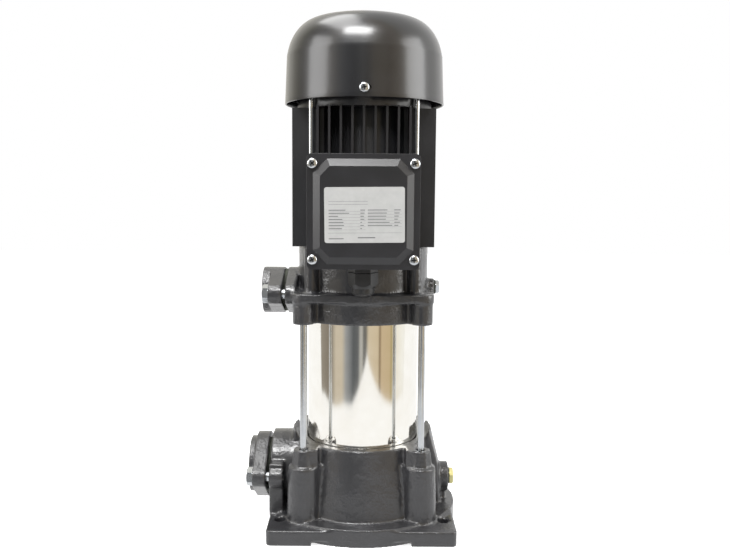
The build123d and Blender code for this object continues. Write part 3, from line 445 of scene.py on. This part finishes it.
def fan_cover():
    """Deep-drawn cover: one dished sheet with rings of air slots between six spokes."""
    low, high = box_of("fan_cover")
    rim_r, rim_z, top_z = high.x / MM, low.z / MM, high.z / MM
    # the profile's points, each in from the rim and down from the top
    waist_in, waist_drop = 2.0, 44.5
    shoulder_in, shoulder_drop = 9.4, 20.0
    deck_in, deck_drop = 27.0, 4.0
    crown_step, crown_steps, press_rounds = 3.0, 18, 30
    side = [(rim_r, rim_z), (rim_r - waist_in, top_z - waist_drop)]
    side += arc(side[1], (rim_r - shoulder_in, top_z - shoulder_drop),
                (rim_r - deck_in, top_z - deck_drop), 24)[1:]
    crown = [(rim_r - deck_in - crown_step * i,
              top_z - deck_drop + deck_drop * i * crown_step / (rim_r - deck_in))
             for i in range(1, crown_steps + 1)]
    line = side + crown + [(0.0, top_z)]
    for _ in range(press_rounds):                        # the press leaves no crease where the crown begins
        line = line[:3] + [tuple((line[i - 1][k] + 2 * line[i][k] + line[i + 1][k]) / 4 for k in (0, 1))
                           for i in range(3, len(line) - 1)] + line[-1:]

    def height_at(radius):
        for (r0, z0), (r1, z1) in zip(line, line[1:]):
            if r1 <= radius <= r0:
                return z0 + (z1 - z0) * (r0 - radius) / (r0 - r1)
        return top_z

    inner_slot, pitch, slot, rings, spokes, spoke, hub_r = 12.0, 8.6, 5.2, 5, 6, 5.0, 6.0
    radii = []
    for i in range(rings):
        radii += [inner_slot + i * pitch, inner_slot + i * pitch + slot / 2, inner_slot + i * pitch + slot]
    outer = [(r, z) for r, z in line if r > radii[-1] + 1.5]
    outer = [outer[0]] + [(outer[0][0] + (outer[1][0] - outer[0][0]) * k / 10,
                           outer[0][1] + (outer[1][1] - outer[0][1]) * k / 10)
                          for k in range(1, 10)] + outer[1:]
    rows = outer + [(r, height_at(r)) for r in sorted(radii, reverse=True)] + [(hub_r, height_at(hub_r))]
    span_steps, spoke_steps = 18, 4
    shape = bmesh.new()
    grid = []
    for radius, height in rows:
        half = asin(min(spoke / 2 / max(radius, inner_slot), 0.5))
        row = []
        for s in range(spokes):
            middle = pi / 6 + s * pi / 3
            for k in range(spoke_steps):
                row.append(middle - half + 2 * half * k / spoke_steps)
            gap = pi / 3 - 2 * half
            for k in range(span_steps):
                row.append(middle + half + gap * k / span_steps)
        grid.append([shape.verts.new((radius * cos(a) * MM, radius * sin(a) * MM, height * MM)) for a in row])
    count = len(grid[0])
    per_spoke = span_steps + spoke_steps
    for n, (above, below) in enumerate(zip(grid, grid[1:])):
        middle_r = (rows[n][0] + rows[n + 1][0]) / 2
        open_ring = any(inner_slot + i * pitch < middle_r < inner_slot + i * pitch + slot
                        for i in range(rings))
        for i in range(count):
            if open_ring and i % per_spoke >= spoke_steps:
                continue
            j = (i + 1) % count
            shape.faces.new((above[i], above[j], below[j], below[i]))
    shape.faces.new(grid[-1])
    bmesh.ops.recalc_face_normals(shape, faces=shape.faces)
    if shape.faces[0].normal.dot(shape.faces[0].calc_center_median()) < 0:
        bmesh.ops.reverse_faces(shape, faces=shape.faces)
    made = piece("fan_cover_shell", made_mesh(shape, "fan_cover_shell"), "housing",
                 cover_paint, ("fan_cover",))
    sheet = made.modifiers.new("sheet", "SOLIDIFY")
    sheet.thickness = 1.5 * MM
    sheet.offset = -1.0
    edges = made.modifiers.new("edges", "BEVEL")
    edges.limit_method = "ANGLE"
    edges.angle_limit = radians(40)
    edges.width = 0.35 * MM
    edges.segments = 2
    edges.use_clamp_overlap = False
    screw_z = (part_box("fan_cover_screws")[0][2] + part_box("fan_cover_screws")[1][2]) / 2
    hole_r, half_depth, hole_length = 0.0026, 0.004, 0.0045   # the screws' slotted holes, in metres
    cutters = []
    for turn in range(3):
        slot_mesh = turned_mesh("slot", [(0.0, -half_depth), (hole_r, -half_depth),
                                         (hole_r, half_depth), (0.0, half_depth)], 24)
        for vert in slot_mesh.vertices:
            if vert.co.x > 0:
                vert.co.x += hole_length
        placed(slot_mesh, (0.0, -rim_r * MM, screw_z), (0.0, -1.0, 0.0))
        slot_mesh.transform(Matrix.Rotation(turn * 2 * pi / 3, 4, "Z"))
        cutters.append(slot_mesh)
    cutter = bpy.data.objects.new("slots", joined("slots", cutters))
    bpy.context.collection.objects.link(cutter)
    cut = made.modifiers.new("slots", "BOOLEAN")
    cut.object = cutter
    cut.solver = "EXACT"
    finish_modifiers(made)
    bpy.data.objects.remove(cutter)
    shade(made, 38)


fan_cover()


# ---- small fasteners -----------------------------------------------------------------------------
def pan_head_screw(radius, height, shank_r, shank):
    """Pan head with a cross recess, its head's seat at the origin and its crown towards +Z."""
    profile = [(0.0, -shank), (shank_r * 0.7, -shank), (shank_r, -shank + shank_r * 0.6), (shank_r, 0.0),
               (radius, 0.0), (radius, height * 0.28), (radius * 0.97, height * 0.5),
               (radius * 0.88, height * 0.72), (radius * 0.70, height * 0.90),
               (radius * 0.42, height * 0.985), (0.0, height)]
    head_mesh = turned_mesh("pan_head", profile, 48)
    shape = bmesh.new()
    for turn in (0, pi / 2):
        reach, half, depth = radius * 0.56, radius * 0.13, height * 0.75
        corners = []
        for share, z in ((0.35, height - depth), (1.0, height + 0.2 * MM)):
            for sx, sy in ((-1, -1), (1, -1), (1, 1), (-1, 1)):
                x, y = sx * reach * share, sy * half * (0.7 + 0.3 * share)
                corners.append(shape.verts.new((x * cos(turn) - y * sin(turn),
                                                x * sin(turn) + y * cos(turn), z)))
        for face in ((3, 2, 1, 0), (4, 5, 6, 7), (0, 1, 5, 4), (1, 2, 6, 5), (2, 3, 7, 6), (3, 0, 4, 7)):
            shape.faces.new([corners[i] for i in face])
    bmesh.ops.recalc_face_normals(shape, faces=shape.faces)
    made = bpy.data.objects.new("screw_blank", head_mesh)
    cross = bpy.data.objects.new("cross", made_mesh(shape, "cross"))
    bpy.context.collection.objects.link(made)
    bpy.context.collection.objects.link(cross)
    cut = made.modifiers.new("cross", "BOOLEAN")
    cut.object = cross
    cut.solver = "EXACT"
    cut.use_self = True
    finish_modifiers(made)
    mesh = made.data
    # faces inside the cross recess take the second material, a painted shade
    for face in mesh.polygons:
        out = face.center.xy.length
        side_face = out < radius * 0.57 and abs(face.normal.z) < 0.75
        floor_face = out < radius * 0.5 and 0 < face.center.z < height * 0.6
        face.material_index = 1 if (side_face or floor_face) and face.center.z > 0.1 * height else 0
    bpy.data.objects.remove(made)
    bpy.data.objects.remove(cross)
    return mesh


def screws(name, node, places, radius, height, shank_r, shank):
    """Pan head screws at (seat point, outward direction, turn of the cross) places, the cross recess darkened
    with painted shade.
    """
    blank_mesh = pan_head_screw(radius, height, shank_r, shank)
    copies = []
    for where, way, turn in places:
        one = blank_mesh.copy()
        one.transform(Matrix.Rotation(turn, 4, "Z"))
        placed(one, where, way)
        copies.append(one)
    mesh = joined(name, copies)
    zinc_or_painted_shade = [face.material_index for face in mesh.polygons]
    made = piece(name, mesh, "housing", zinc, (node,))
    # second material: painted shade in the cross recesses
    mesh.materials.append(painted_recess_shade)
    mesh.polygons.foreach_set("material_index", zinc_or_painted_shade)
    shade(made, 32)


low, high = box_of("lid_screws")
head_r, head_h = 5.0 * MM, 3.0 * MM
lid_x, lid_y = high.x - head_r, low.y + head_h
turns = {(-1, -1): 0.5, (1, -1): 0.05, (-1, 1): 0.75, (1, 1): 0.35}
lid_z = (low.z + head_r, high.z - head_r)
lid_places = [(Vector((x * lid_x, lid_y, lid_z[(z + 1) // 2])), (0, -1, 0), turns[x, z])
              for x in (-1, 1) for z in (-1, 1)]
screws("lid_cross_screws", "lid_screws", lid_places, head_r, head_h, 2.5 * MM, 12.0 * MM)
low, high = box_of("fan_cover_screws")
seat_y, screw_z = low.y + head_h, (low.z + high.z) / 2
cover_places = []
for i in range(3):
    spin = Matrix.Rotation(i * 2 * pi / 3, 4, "Z")
    cover_places.append((spin @ Vector((0, seat_y, screw_z)), spin @ Vector((0, -1, 0)), 0.2 + i))
screws("cover_cross_screws", "fan_cover_screws", cover_places, head_r, head_h, 2.5 * MM, 9.0 * MM)


def hex_head(across_flats, height, cut, grip_r, grip, washer_face=0.4):
    """Hexagon bolt or plug: chamfered head towards +Z from its seat at the origin, plain shank below."""
    head_mesh = hexagon_mesh("hex", across_flats, [(z + washer_face * MM, limit) for z, limit in
                                                  chamfered(across_flats, height - washer_face * MM, cut)])
    collar_r, collar_h = across_flats * 0.475, washer_face * 1.2 * MM
    collar = turned_mesh("collar", [(0.0, 0.0), (collar_r, 0.0), (collar_r, collar_h), (0.0, collar_h)], 48)
    shank = turned_mesh("shank", [(0.0, -grip), (grip_r * 0.8, -grip), (grip_r, -grip + grip_r * 0.2),
                                  (grip_r, 0.1 * MM), (0.0, 0.1 * MM)], 40)
    return joined("hex_head", [head_mesh, collar, shank])


def hex_set(name, node, places, across_flats, height, cut, grip_r, grip, material):
    """Hexagon bolts or plugs at (seat point, outward direction) places, each turned a little further."""
    copies = []
    for where, way in places:
        one = hex_head(across_flats, height, cut, grip_r, grip)
        one.transform(Matrix.Rotation(0.2 + 0.5 * len(copies), 4, "Z"))
        placed(one, where, way)
        copies.append(one)
    made = piece(name, joined(name, copies), "housing", material, (node,))
    shade(made, 28)


bolt_flats, bolt_head = 17.0, 6.4
for side, node in (("suction", "suction_bolts"), ("outlet", "outlet_bolts")):
    low, high = box_of(node)
    seat_x = low.x + bolt_head * MM
    reach = max(abs(low.y), high.y) - bolt_flats / 2 / cos(pi / 6) * MM
    middle_z = (low.z + high.z) / 2
    places = [(Vector((seat_x, y, middle_z)), (-1, 0, 0)) for y in (-reach, reach)]
    hex_set(side + "_hex_bolts", node, places, bolt_flats * MM, bolt_head * MM, 1.3 * MM, 5.0 * MM,
            high.x - seat_x, zinc)
for name, node, flats, tall, shank_r, metal, slot in (
        ("drain_hex_plug", "drain_plug", 17.0, 4.4, 6.5, brass, "brass"),
        ("vent_hex_plug", "vent_plug", 13.0, 4.0, 5.0, zinc, "steel_zinc")):
    low, high = box_of(node)
    seat_x = high.x - tall * MM
    where = Vector((seat_x, 0, (low.z + high.z) / 2))
    hex_set(name, node, [(where, (1, 0, 0))], flats * MM, tall * MM, 1.0 * MM, shank_r * MM,
            seat_x - low.x, metal)


# ---- motor, terminal box and cable gland ---------------------------------------------------------
broken_edges("motor_frame", "finned_frame", "housing", frame_paint, 0.45)
broken_edges("fan_end_shield", "upper_shield", "housing", frame_paint, 0.6)
broken_edges("terminal_box", "box_shell", "housing", box_paint, 0.7)
broken_edges("terminal_cover", "box_lid", "housing", box_paint, 1.3, 3)
broken_edges("gland_body", "gland_lower_body", "housing", black_plastic, 0.4)
broken_edges("gland_nut", "gland_cap_nut", "housing", black_plastic, 0.9, 3)
broken_edges("motor_rod_nuts", "rod_top_nuts", "housing", zinc, 0.4)


# ---- rating label: a foil with plain printed rules and bars, no words ----------------------------
def label():
    """Foil on the lid with grey rules and bars, leaning a little as stuck on by hand."""
    low, high = box_of("terminal_cover")
    right, down = 1.2 * MM, 2.7 * MM                  # the foil's middle, from the lid's
    middle = Vector((right, low.y, (low.z + high.z) / 2 - down))
    wide, tall, corner, thick = 76.0 * MM, 52.6 * MM, 2.4 * MM, 0.25 * MM
    outline = []
    for cx, cz, start in ((1, 1, 0.0), (-1, 1, pi / 2), (-1, -1, pi), (1, -1, 3 * pi / 2)):
        for k in range(7):
            a = start + k * pi / 12
            outline.append((cx * (wide / 2 - corner) + corner * cos(a),
                            cz * (tall / 2 - corner) + corner * sin(a)))
    shape = bmesh.new()
    back = [shape.verts.new((x, 0.0, z)) for x, z in outline]
    front = [shape.verts.new((x, -thick, z)) for x, z in outline]
    shape.faces.new(back)
    shape.faces.new(front)
    wall_faces(shape, back, front)
    bmesh.ops.recalc_face_normals(shape, faces=shape.faces)
    foil = made_mesh(shape, "rating_label")
    lean = Matrix.Translation(middle) @ Matrix.Rotation(-radians(0.7), 4, "Y")
    foil.transform(lean)
    piece("rating_label", foil, "housing", label_foil)

    ink = bmesh.new()
    ink_y = -thick - 0.02 * MM

    def mark(x0, x1, z0, z1):
        """Printed bar, given in millimetres from the label's lower left corner."""
        ends = [(x * MM - wide / 2, ink_y, z * MM - tall / 2) for x, z in
                ((x0, z0), (x1, z0), (x1, z1), (x0, z1))]
        ink.faces.new([ink.verts.new(end) for end in ends])

    first_row, pitch, bar = 30.6, 2.9, 0.75
    rule_low, rule_high = 0.9, 0.75                   # a row's rule, below the foot of its bars
    left_names, left_values = (16.0, 19.5, 9.0, 13.0, 14.0, 14.5, 12.5), (4.5, 4.0, 3.4, 3.8, 1.6, 3.2, 1.4)
    right_names, right_values = (18.5, 18.0, 17.5, 17.0, 20.5, 23.0), (6.0, 5.0, 4.2, 3.2, 5.4, 3.8)
    for line_z in (39.0, 36.2):
        mark(4.0, 41.0, line_z, line_z + 0.25)
    for names, values, name_x, value_x, end_x in ((left_names, left_values, 4.0, 34.0, 39.0),
                                                  (right_names, right_values, 41.0, 66.0, 73.0)):
        for row, (name_w, value_w) in enumerate(zip(names, values)):
            z = first_row - pitch * row
            mark(name_x, name_x + name_w, z, z + bar)
            mark(value_x, value_x + value_w, z, z + bar)
            mark(name_x, end_x, z - rule_low, z - rule_high)
    mark(3.0, 73.0, 9.3, 9.5)
    mark(4.0, 18.0, 3.6, 4.4)
    mark(31.5, 48.0, 4.4, 5.4)
    marks = made_mesh(ink, "rating_label_rules")
    marks.transform(lean)
    piece("rating_label_rules", marks, "housing", grey_ink)


label()


# ---- studio --------------------------------------------------------------------------------------
WHITE = (1, 1, 1, 1)


def world_light():
    """White surround for the camera, softer fill for surfaces, and a room that polished metal mirrors."""
    world = bpy.data.worlds.new("studio")
    bpy.context.scene.world = world
    world.use_nodes = True
    tree = world.node_tree
    tree.nodes.clear()
    where = add(tree, "ShaderNodeTexCoord")
    split = add(tree, "ShaderNodeSeparateXYZ", links={"Vector": (where, "Generated")})
    # turn about Z of a mirrored ray: 0.5 is towards the camera side, 0 and 1 away from it
    back = add(tree, "ShaderNodeMath", {"operation": "MULTIPLY", 1: -1.0}, {0: (split, "Y")})
    turn = add(tree, "ShaderNodeMath", {"operation": "ARCTAN2"}, {0: (split, "X"), 1: (back, "Value")})
    share = add(tree, "ShaderNodeMapRange", {"From Min": -pi, "From Max": pi}, {"Value": (turn, "Value")})
    bands = [(0.5 + turn_deg / 360, linear(colour)) for turn_deg, colour in (
        (-140, "#f6f3e9"), (-124, "#e6e1d2"), (-112, "#aaa591"), (-101, "#918c7e"), (-93, "#989186"),
        (-78, "#8b8378"), (-67, "#91897d"), (-57, "#cec3b0"), (-43, "#cdc2af"), (-35, "#a0a1a2"),
        (-25, "#7c7f82"), (-19, "#5e6164"), (-9, "#67696b"), (-5, "#b7b6b2"), (-1, "#bab8b2"), (2, "#6d6d6b"),
        (7, "#77756f"), (12, "#d6c8af"), (32, "#d3c2a6"), (35.5, "#806d53"), (39, "#cdb898"), (58, "#c9b592"),
        (62, "#ab9a69"), (67, "#f1ebdc"), (90, "#fbfaf5"), (140, "#fbfaf8"))]
    room = add(tree, "ShaderNodeValToRGB", {"stops": bands}, {"Fac": (share, "Result")})
    path = add(tree, "ShaderNodeLightPath")
    white = add(tree, "ShaderNodeBackground", {"Color": WHITE, "Strength": 1.0})
    fill = add(tree, "ShaderNodeBackground", {"Color": WHITE, "Strength": 0.55})
    mirror = add(tree, "ShaderNodeBackground", {"Strength": 0.95}, {"Color": (room, "Color")})
    glossy = add(tree, "ShaderNodeMixShader",
                 links={0: (path, "Is Glossy Ray"), 1: (fill, 0), 2: (mirror, 0)})
    seen = add(tree, "ShaderNodeMixShader",
               links={0: (path, "Is Camera Ray"), 1: (glossy, 0), 2: (white, 0)})
    add(tree, "ShaderNodeOutputWorld", links={"Surface": (seen, 0)})


def floor():
    """White paper under the pump. It glows for the camera, and its near edge is cut to a slanting point,
    which the polished sleeve mirrors as a white triangle."""
    mesh = bpy.data.meshes.new("paper")
    corners = [(-0.64, 0.0), (-0.62, -0.10), (-0.35, -0.47), (-0.206, -0.545), (0.15, -0.99), (0.366, -0.557),
               (0.51, -0.275), (0.61, -0.074), (0.62, 0.0),
               (3.0, 0.4), (3.0, 4.0), (-3.0, 4.0), (-3.0, 0.4)]
    mesh.from_pydata([(x, y, 0.0) for x, y in corners], [], [list(range(len(corners)))])
    paper = bpy.data.objects.new("paper", mesh)
    bpy.context.collection.objects.link(paper)
    material, tree = blank("white_paper")
    path = add(tree, "ShaderNodeLightPath")
    matt = add(tree, "ShaderNodeBsdfDiffuse", {"Color": linear("#f4f4f4")})
    glow = add(tree, "ShaderNodeEmission", {"Color": WHITE, "Strength": 1.0})
    lift = add(tree, "ShaderNodeEmission", {"Color": WHITE, "Strength": 0.72})
    lit = add(tree, "ShaderNodeAddShader", links={0: (matt, 0), 1: (lift, 0)})
    seen = add(tree, "ShaderNodeMixShader", links={0: (path, "Is Camera Ray"), 1: (matt, 0), 2: (lit, 0)})
    mix = add(tree, "ShaderNodeMixShader", links={0: (path, "Is Glossy Ray"), 1: (seen, 0), 2: (glow, 0)})
    add(tree, "ShaderNodeOutputMaterial", links={"Surface": (mix, 0)})
    mesh.materials.append(material)


def lamp(name, place_m, aim_m, size_m, watts):
    """Rectangular soft lamp turned towards a point."""
    light = bpy.data.lights.new(name, "AREA")
    light.shape = "RECTANGLE"
    light.size, light.size_y = size_m
    light.energy = watts
    lamp_object = bpy.data.objects.new(name, light)
    lamp_object.location = place_m
    way = Vector(aim_m) - Vector(place_m)
    lamp_object.rotation_euler = way.to_track_quat("-Z", "Y").to_euler()
    bpy.context.collection.objects.link(lamp_object)


def camera():
    """Eye-level view a little above the middle of the pump, tilted down slightly."""
    data = bpy.data.cameras.new("camera")
    data.sensor_width = 36.0
    data.lens = 39.45
    data.clip_start = 0.01
    view = bpy.data.objects.new("camera", data)
    tilt, lean = radians(90 - 6.06), radians(0.4)
    turn = Matrix.Rotation(tilt, 4, "X") @ Matrix.Rotation(lean, 4, "Z")
    view.matrix_world = Matrix.Translation((0.002, -0.867, 0.353)) @ turn
    bpy.context.collection.objects.link(view)
    bpy.context.scene.camera = view


world_light()
floor()
camera()
lamp("overhead_softbox", (-0.34, -0.02, 1.40), (0.0, 0.0, 0.5), (0.8, 0.5), 6.5)
lamp("front_softbox", (-0.16, -0.75, 1.45), (0.0, -0.11, 0.34), (0.7, 0.35), 18.0)
lamp("left_softbox", (-1.3, -0.5, 0.8), (0.0, 0.0, 0.3), (0.8, 1.2), 13.0)
lamp("right_softbox", (1.3, -0.3, 0.7), (0.0, 0.0, 0.3), (0.8, 1.2), 12.0)
bpy.context.scene.view_settings.view_transform = "Standard"
